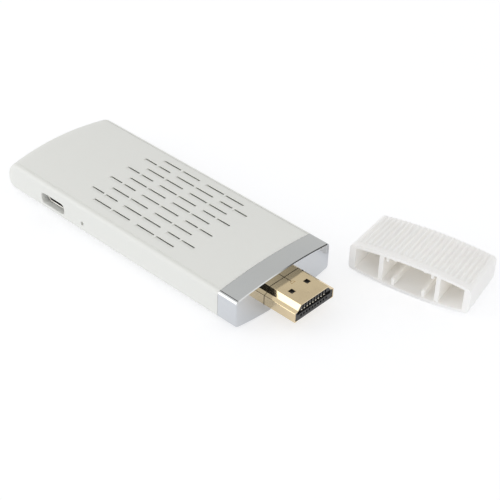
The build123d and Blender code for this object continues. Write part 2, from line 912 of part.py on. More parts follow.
def usb_tongue():
    """The socket's moulded tongue and the block behind it."""
    y0 = socket_recess + tongue_recess - half_width
    y1 = socket_recess + socket_depth - socket_sheet - insulator_gap - half_width
    top = tongue_top_z()
    half = tongue_width / 2
    tongue = span_box(
        socket_x - half, socket_x + half, y0, y1, top - tongue_thickness, top
    )
    block = along_y(socket_outline(socket_sheet + insulator_gap), y1 - socket_block_depth, y1)
    body = tongue + block
    for x in socket_contact_places():
        wide = socket_contact_width / 2 + insulator_gap
        low = top - tongue_thickness
        front = y0 + socket_contact_setback - socket_channel_lead
        body -= span_box(x - wide, x + wide, front, y1 + 1, low - 1, low + socket_contact_sheet)
    return body


def socket_contact_places():
    """Places along X of the socket's contacts."""
    middle = (socket_contacts - 1) / 2
    return [socket_x + (i - middle) * socket_contact_pitch for i in range(socket_contacts)]


def usb_contacts():
    """Five flat contacts on the underside of the tongue."""
    y0 = socket_recess + tongue_recess - half_width + socket_contact_setback
    y1 = socket_recess + socket_depth - socket_sheet - socket_contact_rear_gap - half_width
    low = tongue_top_z() - tongue_thickness
    half = socket_contact_width / 2
    strips = []
    for x in socket_contact_places():
        high = low + socket_contact_sheet - insulator_gap
        strips.append(span_box(x - half, x + half, y0, y1, low, high))
    return Compound(children=strips)


def switch_front_y():
    """Front face of the reset switch's moulded base."""
    return switch_wall_gap - inner_half_width


def reset_switch_base():
    """The switch's moulded base, open at the front for its plunger."""
    y0 = switch_front_y()
    y1 = y0 + switch_depth
    half = switch_length / 2
    low = board_z - switch_height
    base = span_box(pinhole_x - half, pinhole_x + half, y0, y1, low, board_z)
    base = fillet(base.edges().filter_by(Axis.Z), radius=switch_edge)
    wide = plunger_width / 2 + plunger_clearance
    tall = plunger_height / 2 + plunger_clearance
    guide = foot_front_y() - plunger_clearance
    base -= span_box(
        pinhole_x - wide, pinhole_x + wide, y0 - 1, guide, plunger_z - tall, plunger_z + tall
    )
    wide += plunger_foot_side
    rear = foot_front_y() + plunger_foot_depth + plunger_travel + dome_rise + 2 * dome_sheet
    base -= span_box(
        pinhole_x - wide, pinhole_x + wide, guide, rear, plunger_z - tall, plunger_z + tall
    )
    return base


def foot_front_y():
    """Front of the plunger's wide foot inside the switch."""
    return switch_front_y() + plunger_guide_depth


def reset_switch_cover():
    """The bent sheet frame that clips under the switch."""
    y0 = switch_front_y() + switch_cover_setback
    y1 = y0 + switch_depth - 2 * switch_cover_setback
    half = switch_length / 2 + switch_cover_sheet
    low = board_z - switch_height - switch_cover_sheet
    cover = span_box(pinhole_x - half, pinhole_x + half, y0, y1, low, board_z)
    inner = switch_length / 2
    return cover - span_box(
        pinhole_x - inner, pinhole_x + inner, y0 - 1, y1 + 1, board_z - switch_height, board_z + 1
    )


def reset_plunger():
    """The plunger, with a wide foot that keeps it in the base."""
    tip = plunger_tip_gap - inner_half_width
    front = foot_front_y()
    half = plunger_width / 2
    tall = plunger_height / 2
    stem = span_box(
        pinhole_x - half, pinhole_x + half, tip, front, plunger_z - tall, plunger_z + tall
    )
    stem = fillet(stem.faces().sort_by(Axis.Y)[0].edges(), radius=plunger_edge)
    half += plunger_foot_side
    foot = span_box(
        pinhole_x - half, pinhole_x + half, front, front + plunger_foot_depth,
        plunger_z - tall, plunger_z + tall,
    )
    return stem + foot


def reset_dome():
    """The curved snap spring behind the plunger."""
    y = foot_front_y() + plunger_foot_depth + plunger_travel + dome_rise + dome_sheet
    half = dome_width / 2
    outer = ThreePointArc((pinhole_x - half, y), (pinhole_x, y - dome_rise), (pinhole_x + half, y))
    strip = trace(outer, dome_sheet)
    return Pos(0, 0, plunger_z) * extrude(strip, amount=dome_height / 2 - plunger_clearance, both=True)


def cap_outline(fall, taper, side_inset, skin_inset):
    """Outline of the cap in XZ at one depth, drawn in by its walls."""
    half = half_width - cap_shy - taper
    bottom_radius = (half ** 2 + side_bottom_z ** 2) / (2 * side_bottom_z) - skin_inset
    top_radius = (half ** 2 + cap_crown ** 2) / (2 * cap_crown) - skin_inset
    crest = side_bottom_z + cap_side_height + cap_crown - fall - skin_inset
    half -= side_inset
    bottom_sag = bottom_radius - math.sqrt(bottom_radius ** 2 - half ** 2)
    top_sag = top_radius - math.sqrt(top_radius ** 2 - half ** 2)
    low = skin_inset + bottom_sag
    return make_face(crowned_outline(half, low, bottom_sag, crest - top_sag, top_sag))


def cap_crest(x, share):
    """Height of the cap's top surface at a place x across and a share of its depth."""
    half = half_width - cap_shy - share * cap_taper
    radius = (half ** 2 + cap_crown ** 2) / (2 * cap_crown)
    crest = side_bottom_z + cap_side_height + cap_crown - share * cap_top_fall
    return crest - radius + math.sqrt(radius ** 2 - x ** 2)


def cap_groove(x):
    """One finger groove, from the smooth rim out through the back edge."""
    share = cap_groove_start / cap_depth
    lift = cap_groove_radius - cap_groove_depth
    start = Vector(x, cap_groove_start, cap_crest(x, share) + lift)
    narrow = x * (half_width - cap_shy - cap_taper) / (half_width - cap_shy)
    end = Vector(narrow, cap_depth + 1, cap_crest(narrow, 1) + lift)
    run = Plane(start, z_dir=end - start)
    bar = extrude(run * Circle(cap_groove_radius), amount=(end - start).length)
    return bar + Pos(start) * Sphere(cap_groove_radius)


def cap_body():
    """The cap in its own frame, mouth in the XZ plane and depth along +Y."""
    mouth = Plane.XZ
    back = Plane.XZ.offset(-cap_depth)
    body = loft([
        mouth * cap_outline(0, 0, 0, 0),
        back * cap_outline(cap_top_fall, cap_taper, 0, 0),
    ], ruled=True)
    ends = (body.faces().sort_by(Axis.Y)[0], body.faces().sort_by(Axis.Y)[-1])
    rims = [edge.center() for face in ends for edge in face.edges()]
    long_edges = [e for e in body.edges() if all((e.center() - rim).length > 0.01 for rim in rims)]
    body = fillet(long_edges, radius=edge_round)
    body = fillet(body.faces().sort_by(Axis.Y)[-1].edges(), radius=cap_back_edge)
    middle = (cap_grooves - 1) / 2
    return body - [cap_groove((i - middle) * cap_groove_pitch) for i in range(cap_grooves)]


def cap_hollow():
    """The space inside the cap, less the partitions and ribs that guide the plug."""
    share = (cap_depth - cap_back_wall) / cap_depth
    hollow = loft([
        Plane.XZ.offset(cap_mouth_edge) * cap_outline(0, 0, cap_side_wall, cap_skin),
        Plane.XZ.offset(cap_back_wall - cap_depth)
        * cap_outline(share * cap_top_fall, share * cap_taper, cap_side_wall, cap_skin),
    ], ruled=True)
    far = cap_depth
    near = cap_partition_recess
    inner = plug_width / 2 + cap_plug_clearance
    for side in (-1, 1):
        hollow -= span_box(side * inner, side * (inner + cap_partition), near, far, 0, reach)
        guide = side * cap_guide_offset
        half = cap_guide_width / 2
        hollow -= span_box(guide - half, guide + half, near, far, cap_guide_bottom, reach)
        stub = side * cap_stub_offset
        half = cap_stub_width / 2
        roof = cap_crest(stub, 0) - cap_skin
        hollow -= span_box(stub - half, stub + half, near, far, roof - cap_stub_drop, reach)
        rest = side * cap_rest_offset
        half = cap_rest_width / 2
        hollow -= span_box(rest - half, rest + half, near, far, 0, plug_bottom_z - cap_rest_gap)
    return hollow


def cap():
    """The cap, turned and set down beside the plug."""
    x, y = cap_position
    return Pos(x, y, 0) * Rot(0, 0, cap_turn) * (cap_body() - cap_hollow())


def build_nodes():
    """Every piece under its own name."""
    power_x, power_y = power_chip_offset
    crystal_x, crystal_y = crystal_offset
    led_x, led_y = led_offset
    return {
        "top_cover": top_cover(),
        "bottom_case": bottom_case(),
        "chrome_bezel": chrome_bezel(),
        "plug_shell": plug_shell(),
        "plug_insulator": plug_insulator(),
        "plug_contacts_upper": plug_contacts_upper(),
        "plug_contacts_lower": plug_contacts_lower(),
        "circuit_board": circuit_board(),
        "board_screws": board_screws(),
        "main_processor": chip(processor_size, processor_x, 0, board_top_z),
        "memory_chips": memory_chips(),
        "flash_chip": hanging_chip(flash_size, processor_x, 0),
        "power_chip": chip(power_chip_size, processor_x + power_x, power_y, board_top_z),
        "power_inductors": power_inductors(),
        "ceramic_capacitors": ceramic_capacitors(),
        "chip_resistors": chip_resistors(),
        "main_crystal": chip(crystal_size, processor_x + crystal_x, crystal_y, board_top_z),
        "status_led": chip(led_size, processor_x + led_x, led_y, board_top_z),
        "thermal_pad": thermal_pad(),
        "heat_spreader": heat_spreader(),
        "radio_module": radio_module(),
        "radio_shield": radio_shield(),
        "wifi_aerial": wifi_aerial(),
        "usb_shell": usb_shell(),
        "usb_tongue": usb_tongue(),
        "usb_contacts": usb_contacts(),
        "reset_switch_base": reset_switch_base(),
        "reset_switch_cover": reset_switch_cover(),
        "reset_plunger": reset_plunger(),
        "reset_dome": reset_dome(),
        "cap": cap(),
    }


def main():
    """Write one STEP file for each piece."""
    os.makedirs("parts", exist_ok=True)
    for name, piece in build_nodes().items():
        export_step(piece, f"parts/{name}.step")


main()
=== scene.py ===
"""Look of a wireless display dongle and its push-on plug cap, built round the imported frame.

Everything is in metres. +X runs along the body towards its plug, the micro socket's side
faces -Y and +Z is up.
"""
import math

import bpy
from mathutils import Matrix, Vector

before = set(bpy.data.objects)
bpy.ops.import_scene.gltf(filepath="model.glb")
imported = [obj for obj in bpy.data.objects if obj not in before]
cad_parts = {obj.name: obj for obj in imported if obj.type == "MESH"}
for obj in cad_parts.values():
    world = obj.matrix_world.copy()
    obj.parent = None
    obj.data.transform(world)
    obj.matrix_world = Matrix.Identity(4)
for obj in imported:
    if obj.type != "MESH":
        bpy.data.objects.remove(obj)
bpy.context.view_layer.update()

bl_info = {
    "name": "Display Dongle Look",
    "version": (1, 0, 0),
    "blender": (4, 5, 0),
    "location": "View3D > Sidebar > Dongle",
    "description": "Dresses the packed dongle with its plastics, platings, board and studio",
    "category": "Object",
}

MILLIMETRE = 0.001

# Moulded plastic: its fine grain, its clouds and flecks of colour, and how its gloss varies
GRAIN_SIZE = 0.22 * MILLIMETRE
GRAIN_DEPTH = 0.004 * MILLIMETRE
CLOUD_SIZE = 18 * MILLIMETRE
FLECK_SIZE = 1.2 * MILLIMETRE
CLOUD_SHARE = 0.7
PLASTIC_GLOSS_SWING = 0.16

# Milky plastic: how far light soaks into it, and each colour's share of that
SOAK_DEPTH = 5 * MILLIMETRE
SOAK_SHARES = (1.0, 0.95, 0.9)

# Plate and sheet: its smears and the levels of them where tarnish sets in, and its rolling lines along X
SMEAR_SIZE = 6 * MILLIMETRE
SMEAR_EDGES = (0.45, 0.75)
SMEAR_GLOSS_SWING = 0.12
LINE_PITCH = 0.15 * MILLIMETRE
LINE_DEPTH = 0.0002 * MILLIMETRE
LINE_STRETCH = (0.04, 1.0, 1.0)
LINE_GLOSS_SWING = 0.03
LEAST_ROUGHNESS = 0.02

# Printed boards: half a track's width and a via's radius in shares of their own spacings, how many
# vias there are to a track pitch and how much they scatter, then roughness and relief
TRACK_HALF_WIDTH = 0.12
VIA_RADIUS = 0.11
VIA_DENSITY = 0.45
VIA_SCATTER = 0.6
MASK_ROUGHNESS = 0.42
TRACK_ROUGHNESS = 0.32
TRACK_RELIEF = 0.03 * MILLIMETRE

# The studio's lamp, floor and camera, and how often light bounces
LAMP_PLACE = (-0.42, -0.52, 0.36)
FLOOR_HALF_WIDTH = 4.0
FLOOR_DROP = 0.02 * MILLIMETRE
SENSOR_WIDTH = 36.0
NEAREST_SEEN = 0.01
FARTHEST_SEEN = 20.0
DIFFUSE_BOUNCES = 32
MOST_BOUNCES = 40

# Heights on a ball of radius 1 between which the sky, lit and mirrored, goes from low to high
SKY_HEIGHTS = (0.05, 0.75)
MIRROR_HEIGHTS = (0.05, 0.65)
DIMMEST_SKY = 0.05

# How far the floor glows and how much of its own shade it loses, where it is seen and mirrored
SEEN_GLOW = 0.62
SEEN_LOSS = 0.5
MIRRORED_GLOW = 0.3
MIRRORED_LOSS = 0.1

# Dark and bright things that plate mirrors: direction, angle of the middle, angle of the rim, level
MIRRORED_PATCHES = (
    ((0.53, -0.68, 0.50), 18.0, 28.0, 0.02),
    ((0.48, 0.74, 0.47), 9.0, 13.0, 0.12),
    ((-0.53, 0.205, 0.823), 4.5, 9.0, 0.12),
    ((0.62, 0.45, 0.60), 7.0, 11.0, 1.5),
)
MIRROR_TINT = (1.0, 0.995, 0.955, 1)


def level_property(name, description, default):
    """A plain number that a user can set, such as a light level."""
    return bpy.props.FloatProperty(name=name, description=description, default=default)


def colour_property(name, description, default):
    """A colour that a user can set."""
    return bpy.props.FloatVectorProperty(
        name=name, description=description, subtype="COLOR", size=3, min=0, max=1, default=default
    )


def length_property(name, description, default):
    """A length that a user can set."""
    return bpy.props.FloatProperty(
        name=name, description=description, subtype="DISTANCE", unit="LENGTH", default=default
    )


def angle_property(name, description, degrees):
    """An angle that a user can set, given in degrees."""
    return bpy.props.FloatProperty(
        name=name, description=description, subtype="ANGLE", unit="ROTATION", default=math.radians(degrees)
    )


class PlasticLook(bpy.types.PropertyGroup):
    """Colours and grain of the moulded plastics."""

    case_colour: colour_property(
        "Case colour", "Colour of the lid and the bottom case", (0.82, 0.825, 0.79)
    )
    cap_colour: colour_property(
        "Cap colour", "Colour of the plug cap, a little warmer than the case", (0.97, 0.96, 0.94)
    )
    grain_size: length_property("Grain size", "Pitch of the fine texture of the mould", GRAIN_SIZE)
    grain_depth: length_property("Grain depth", "Depth of the fine texture of the mould", GRAIN_DEPTH)


class MetalLook(bpy.types.PropertyGroup):
    """Colours of the plated and bare metals."""

    bezel_colour: colour_property("Bezel colour", "Colour of the bright plated bezel", (0.655, 0.67, 0.69))
    plug_colour: colour_property("Plug colour", "Colour of the plug's pale gold plate", (0.80, 0.66, 0.44))
    contact_colour: colour_property(
        "Contact colour", "Colour of the gold on the contacts", (0.95, 0.89, 0.76)
    )


class BoardLook(bpy.types.PropertyGroup):
    """Colours and track pitch of the circuit boards."""

    mask_colour: colour_property(
        "Solder mask", "Colour of the boards between their tracks", (0.012, 0.060, 0.030)
    )
    track_colour: colour_property(
        "Track colour", "Colour of the tracks under the solder mask", (0.035, 0.140, 0.062)
    )
    track_pitch: length_property("Track pitch", "Spacing of the tracks on the boards", 1.1 * MILLIMETRE)


class StudioLook(bpy.types.PropertyGroup):
    """Camera and light of the studio."""

    camera_place: bpy.props.FloatVectorProperty(
        name="Camera place",
        description="Where the camera stands",
        subtype="TRANSLATION",
        unit="LENGTH",
        size=3,
        default=(0.209857, -0.199161, 0.212496),
    )
    camera_azimuth: angle_property("Camera azimuth", "Turn of the view from along +Y towards -X", 41.9397)
    camera_elevation: angle_property("Camera elevation", "How far the camera looks down", 37.1596)
    camera_roll: angle_property("Camera roll", "Turn of the picture about its middle", 2.0112)
    camera_lens: bpy.props.FloatProperty(
        name="Camera lens",
        description="Focal length in millimetres on a sensor 36 mm wide",
        unit="CAMERA",
        default=100.218,
    )
    floor_colour: colour_property("Floor colour", "Colour of the pale floor", (0.895, 0.905, 0.93))
    sky_low: level_property("Low sky", "Level of the soft light near the floor", 1.17)
    sky_high: level_property("High sky", "Level of the soft light overhead", 0.71)
    sky_lean_x: level_property("Lean along X", "How much brighter the light is towards the plug", 0.1)
    sky_lean_y: level_property("Lean along Y", "How much brighter the light is behind", -0.08)
    mirror_low: level_property("Low mirror", "Level that plate mirrors near the floor", 1.05)
    mirror_high: level_property("High mirror", "Level that plate mirrors from above", 0.82)
    mirror_lean_y: level_property("Mirror lean", "How much brighter plate mirrors things behind", -0.25)
    lamp_power: bpy.props.FloatProperty(
        name="Key lamp", description="Power of the key lamp in watts", unit="POWER", default=0.95
    )
    lamp_size: length_property("Key lamp size", "Width of the square key lamp", 0.5)


def named_group(name):
    """A shader node group of that name, and whether it still has to be filled."""
    group = bpy.data.node_groups.get(name)
    if group:
        return group, False
    return bpy.data.node_groups.new(name, "ShaderNodeTree"), True


def add_socket(group, name, way, kind, default=None):
    """Give a node group a named input or output."""
    socket = group.interface.new_socket(name=name, in_out=way, socket_type=f"NodeSocket{kind}")
    if default is not None:
        socket.default_value = default


def add_node(tree, kind, **settings):
    """A node of a tree with its settings."""
    node = tree.nodes.new(f"ShaderNode{kind}")
    for name, value in settings.items():
        setattr(node, name, value)
    return node


def group_ends(group):
    """The nodes that hold a group's inputs and outputs."""
    return group.nodes.new("NodeGroupInput"), group.nodes.new("NodeGroupOutput")


def join(tree, source, target):
    """Link an output socket to an input socket."""
    tree.links.new(source, target)


def feed(tree, value, target):
    """Link a socket to an input, or set the input to a plain number."""
    if isinstance(value, bpy.types.NodeSocket):
        join(tree, value, target)
    else:
        target.default_value = value


def scalar(tree, operation, first, second):
    """A Math node on two sockets or numbers; gives its output."""
    node = add_node(tree, "Math", operation=operation)
    feed(tree, first, node.inputs[0])
    feed(tree, second, node.inputs[1])
    return node.outputs[0]


def noise(tree, place, size, detail=2.0, roughness=0.5):
    """A noise whose features are about size metres across; size may be a socket."""
    node = add_node(tree, "TexNoise")
    node.inputs["Detail"].default_value = detail
    node.inputs["Roughness"].default_value = roughness
    join(tree, place, node.inputs["Vector"])
    if isinstance(size, bpy.types.NodeSocket):
        density = scalar(tree, "DIVIDE", 1.0, size)
    else:
        density = 1.0 / size
    feed(tree, density, node.inputs["Scale"])
    return node.outputs["Fac"]


def remap(tree, value, low, high, from_low=0.0, from_high=1.0):
    """A value moved from one range to another."""
    node = add_node(tree, "MapRange")
    join(tree, value, node.inputs["Value"])
    numbers = {"From Min": from_low, "From Max": from_high, "To Min": low, "To Max": high}
    for name, number in numbers.items():
        feed(tree, number, node.inputs[name])
    return node.outputs["Result"]


def pick(tree, share, first, second):
    """The first number where the share is 0 and the second where it is 1."""
    node = add_node(tree, "Mix", data_type="FLOAT")
    join(tree, share, node.inputs["Factor"])
    feed(tree, first, node.inputs["A"])
    feed(tree, second, node.inputs["B"])
    return node.outputs["Result"]


def tint(tree, colour, value):
    """A colour socket made lighter or darker by a value."""
    node = add_node(tree, "VectorMath", operation="SCALE")
    join(tree, colour, node.inputs[0])
    join(tree, value, node.inputs["Scale"])
    return node.outputs[0]


def blend_colours(tree, share, first, second):
    """A mix of two colour sockets by a share."""
    node = add_node(tree, "Mix", data_type="RGBA")
    join(tree, share, node.inputs["Factor"])
    join(tree, first, node.inputs["A"])
    join(tree, second, node.inputs["B"])
    return node.outputs["Result"]


def moulded_skin():
    """Group for moulded plastic: cloudy colour, mould grain and uneven gloss."""
    group, empty = named_group("Moulded Skin")
    if not empty:
        return group
    add_socket(group, "Colour", "INPUT", "Color", (0.8, 0.8, 0.8, 1))
    add_socket(group, "Roughness", "INPUT", "Float", 0.45)
    add_socket(group, "Cloudiness", "INPUT", "Float", 0.02)
    add_socket(group, "Grain Size", "INPUT", "Float", GRAIN_SIZE)
    add_socket(group, "Grain Depth", "INPUT", "Float", GRAIN_DEPTH)
    add_socket(group, "Colour", "OUTPUT", "Color")
    add_socket(group, "Roughness", "OUTPUT", "Float")
    add_socket(group, "Height", "OUTPUT", "Float")
    given, result = group_ends(group)
    place = add_node(group, "TexCoord").outputs["Object"]
    cloud = noise(group, place, CLOUD_SIZE, detail=3.0)
    fleck = noise(group, place, FLECK_SIZE)
    clouds = scalar(group, "MULTIPLY", cloud, CLOUD_SHARE)
    flecks = scalar(group, "MULTIPLY", fleck, 1.0 - CLOUD_SHARE)
    mixed = scalar(group, "ADD", clouds, flecks)
    swing = scalar(group, "MULTIPLY", scalar(group, "SUBTRACT", mixed, 0.5), given.outputs["Cloudiness"])
    shade = scalar(group, "ADD", swing, 1.0)
    join(group, tint(group, given.outputs["Colour"], shade), result.inputs["Colour"])
    uneven = scalar(group, "MULTIPLY", scalar(group, "SUBTRACT", cloud, 0.5), PLASTIC_GLOSS_SWING)
    join(group, scalar(group, "ADD", given.outputs["Roughness"], uneven), result.inputs["Roughness"])
    grain = noise(group, place, given.outputs["Grain Size"], roughness=0.6)
    join(group, scalar(group, "MULTIPLY", grain, given.outputs["Grain Depth"]), result.inputs["Height"])
    return group


def plated_skin():
    """Group for plated or bare sheet: faint rolling lines, smears and a tarnish tint."""
    group, empty = named_group("Plated Skin")
    if not empty:
        return group
    add_socket(group, "Colour", "INPUT", "Color", (0.8, 0.8, 0.8, 1))
    add_socket(group, "Tarnish Colour", "INPUT", "Color", (0.6, 0.5, 0.4, 1))
    add_socket(group, "Tarnish", "INPUT", "Float", 0.1)
    add_socket(group, "Roughness", "INPUT", "Float", 0.1)
    add_socket(group, "Line Pitch", "INPUT", "Float", LINE_PITCH)
    add_socket(group, "Line Depth", "INPUT", "Float", LINE_DEPTH)
    add_socket(group, "Colour", "OUTPUT", "Color")
    add_socket(group, "Roughness", "OUTPUT", "Float")
    add_socket(group, "Height", "OUTPUT", "Float")
    given, result = group_ends(group)
    place = add_node(group, "TexCoord").outputs["Object"]
    smear = noise(group, place, SMEAR_SIZE, detail=4.0, roughness=0.6)
    patch = scalar(group, "MULTIPLY", remap(group, smear, 0.0, 1.0, *SMEAR_EDGES), given.outputs["Tarnish"])
    colour = blend_colours(group, patch, given.outputs["Colour"], given.outputs["Tarnish Colour"])
    join(group, colour, result.inputs["Colour"])
    stretch = add_node(group, "Mapping", vector_type="POINT")
    stretch.inputs["Scale"].default_value = LINE_STRETCH
    join(group, place, stretch.inputs["Vector"])
    lines = noise(group, stretch.outputs[0], given.outputs["Line Pitch"], detail=3.0, roughness=0.6)
    smeared = scalar(group, "MULTIPLY", scalar(group, "SUBTRACT", smear, 0.5), SMEAR_GLOSS_SWING)
    uneven = scalar(group, "ADD", smeared, scalar(group, "MULTIPLY", lines, LINE_GLOSS_SWING))
    rough = scalar(group, "ADD", given.outputs["Roughness"], uneven)
    join(group, scalar(group, "MAXIMUM", rough, LEAST_ROUGHNESS), result.inputs["Roughness"])
    join(group, scalar(group, "MULTIPLY", lines, given.outputs["Line Depth"]), result.inputs["Height"])
    return group


def printed_board():
    """Group for a printed board: tracks under the mask, with vias and a soft relief."""
    group, empty = named_group("Printed Board")
    if not empty:
        return group
    add_socket(group, "Mask Colour", "INPUT", "Color", (0.01, 0.06, 0.03, 1))
    add_socket(group, "Track Colour", "INPUT", "Color", (0.03, 0.14, 0.06, 1))
    add_socket(group, "Track Pitch", "INPUT", "Float", MILLIMETRE)
    add_socket(group, "Colour", "OUTPUT", "Color")
    add_socket(group, "Roughness", "OUTPUT", "Float")
    add_socket(group, "Height", "OUTPUT", "Float")
    given, result = group_ends(group)
    place = add_node(group, "TexCoord").outputs["Object"]
    density = scalar(group, "DIVIDE", 1.0, given.outputs["Track Pitch"])
    cells = add_node(group, "TexVoronoi", distance="MANHATTAN", feature="DISTANCE_TO_EDGE")
    join(group, place, cells.inputs["Vector"])
    join(group, density, cells.inputs["Scale"])
    tracks = scalar(group, "LESS_THAN", cells.outputs["Distance"], TRACK_HALF_WIDTH)
    dots = add_node(group, "TexVoronoi", feature="F1")
    dots.inputs["Randomness"].default_value = VIA_SCATTER
    join(group, place, dots.inputs["Vector"])
    join(group, scalar(group, "MULTIPLY", density, VIA_DENSITY), dots.inputs["Scale"])
    vias = scalar(group, "LESS_THAN", dots.outputs["Distance"], VIA_RADIUS)
    copper = scalar(group, "MAXIMUM", tracks, vias)
    colour = blend_colours(group, copper, given.outputs["Mask Colour"], given.outputs["Track Colour"])
    join(group, colour, result.inputs["Colour"])
    join(group, remap(group, copper, MASK_ROUGHNESS, TRACK_ROUGHNESS), result.inputs["Roughness"])
    join(group, scalar(group, "MULTIPLY", copper, TRACK_RELIEF), result.inputs["Height"])
    return group


def new_material(name):
    """An empty material with its Principled shader; gives the material and that shader."""
    material = bpy.data.materials.new(name)
    material.use_nodes = True
    return material, material.node_tree.nodes["Principled BSDF"]


def place_group(material, shader, group, values):
    """Put an effect group in a material and feed colour, roughness and relief from it."""
    tree = material.node_tree
    node = add_node(tree, "Group")
    node.node_tree = group
    for name, value in values.items():
        node.inputs[name].default_value = (*value, 1) if isinstance(value, (tuple, list)) else value
    join(tree, node.outputs["Colour"], shader.inputs["Base Color"])
    join(tree, node.outputs["Roughness"], shader.inputs["Roughness"])
    relief = add_node(tree, "Bump")
    relief.inputs["Strength"].default_value = 1.0
    relief.inputs["Distance"].default_value = 1.0
    join(tree, node.outputs["Height"], relief.inputs["Height"])
    join(tree, relief.outputs["Normal"], shader.inputs["Normal"])


def plastic(
    name,
    colour,
    roughness,
    cloudiness=0.03,
    grain_size=GRAIN_SIZE,
    grain_depth=GRAIN_DEPTH,
    milkiness=0.0,
    clearness=0.0,
):
    """A moulded plastic; milkiness is how much light soaks into it, clearness how much goes through."""
    material, shader = new_material(name)
    values = {
        "Colour": tuple(colour),
        "Roughness": roughness,
        "Cloudiness": cloudiness,
        "Grain Size": grain_size,
        "Grain Depth": grain_depth,
    }
    place_group(material, shader, moulded_skin(), values)
    if milkiness:
        shader.inputs["Subsurface Weight"].default_value = milkiness
        shader.inputs["Subsurface Radius"].default_value = SOAK_SHARES
        shader.inputs["Subsurface Scale"].default_value = SOAK_DEPTH
    if clearness:
        shader.inputs["Transmission Weight"].default_value = clearness
    return material


def metal(
    name,
    colour,
    roughness,
    tarnish_colour=(0.5, 0.4, 0.3),
    tarnish=0.1,
    line_pitch=LINE_PITCH,
    line_depth=LINE_DEPTH,
):
    """A plated or bare sheet metal."""
    material, shader = new_material(name)
    values = {
        "Colour": tuple(colour),
        "Tarnish Colour": tarnish_colour,
        "Tarnish": tarnish,
        "Roughness": roughness,
        "Line Pitch": line_pitch,
        "Line Depth": line_depth,
    }
    place_group(material, shader, plated_skin(), values)
    shader.inputs["Metallic"].default_value = 1.0
    return material


def dress(material, *nodes):
    """Give CAD nodes their material."""
    for name in nodes:
        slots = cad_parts[name].data.materials
        slots.clear()
        slots.append(material)


class DONGLE_OT_housing(bpy.types.Operator):
    """Dress the lid and the bottom case in satin white plastic"""

    bl_idname = "dongle.housing"
    bl_label = "Housing"

    def execute(self, context):
        look = context.scene.plastic_look
        case = plastic(
            "case_plastic",
            look.case_colour,
            roughness=0.5,
            cloudiness=0.02,
            grain_size=look.grain_size,
            grain_depth=look.grain_depth,
            milkiness=0.1,
        )
        dress(case, "top_cover", "bottom_case")
        return {"FINISHED"}


class DONGLE_OT_bezel(bpy.types.Operator):
    """Dress the bezel in bright plate"""

    bl_idname = "dongle.bezel"
    bl_label = "Bezel"

    def execute(self, context):
        look = context.scene.metal_look
        plate = metal(
            "bezel_plate",
            look.bezel_colour,
            roughness=0.05,
            tarnish_colour=(0.60, 0.63, 0.68),
            tarnish=0.25,
            line_pitch=0.6 * MILLIMETRE,
            line_depth=0.00015 * MILLIMETRE,
        )
        dress(plate, "chrome_bezel")
        return {"FINISHED"}


class DONGLE_OT_plug(bpy.types.Operator):
    """Dress the plug's gold shell, its insulator and its contacts"""

    bl_idname = "dongle.plug"
    bl_label = "Plug"

    def execute(self, context):
        look = context.scene.metal_look
        shell = metal(
            "plug_gold",
            look.plug_colour,
            roughness=0.13,
            tarnish_colour=(0.62, 0.50, 0.34),
            tarnish=0.4,
            line_pitch=0.12 * MILLIMETRE,
        )
        dress(shell, "plug_shell")
        gold = metal(
            "contact_gold", look.contact_colour, roughness=0.3, tarnish_colour=(0.8, 0.7, 0.5), tarnish=0.2
        )
        dress(gold, "plug_contacts_upper", "plug_contacts_lower", "usb_contacts")
        dress(plastic("insulator_black", (0.028, 0.028, 0.028), roughness=0.32), "plug_insulator")
        return {"FINISHED"}


class DONGLE_OT_socket(bpy.types.Operator):
    """Dress the micro socket in its side window"""

    bl_idname = "dongle.socket"
    bl_label = "Micro socket"

    def execute(self, context):
        sheet = metal(
            "socket_sheet",
            (0.56, 0.55, 0.53),
            roughness=0.26,
            tarnish_colour=(0.40, 0.36, 0.31),
            tarnish=0.4,
        )
        dress(sheet, "usb_shell")
        dress(plastic("socket_tongue", (0.025, 0.024, 0.023), roughness=0.4), "usb_tongue")
        return {"FINISHED"}


class DONGLE_OT_reset_switch(bpy.types.Operator):
    """Dress the reset switch behind its pinhole"""

    bl_idname = "dongle.reset_switch"
    bl_label = "Reset switch"

    def execute(self, context):
        dress(plastic("switch_base", (0.02, 0.02, 0.021), roughness=0.5), "reset_switch_base")
        dress(plastic("switch_plunger", (0.55, 0.53, 0.48), roughness=0.3), "reset_plunger")
        sheet = metal("switch_sheet", (0.66, 0.65, 0.63), roughness=0.25)
        dress(sheet, "reset_switch_cover", "reset_dome")
        return {"FINISHED"}


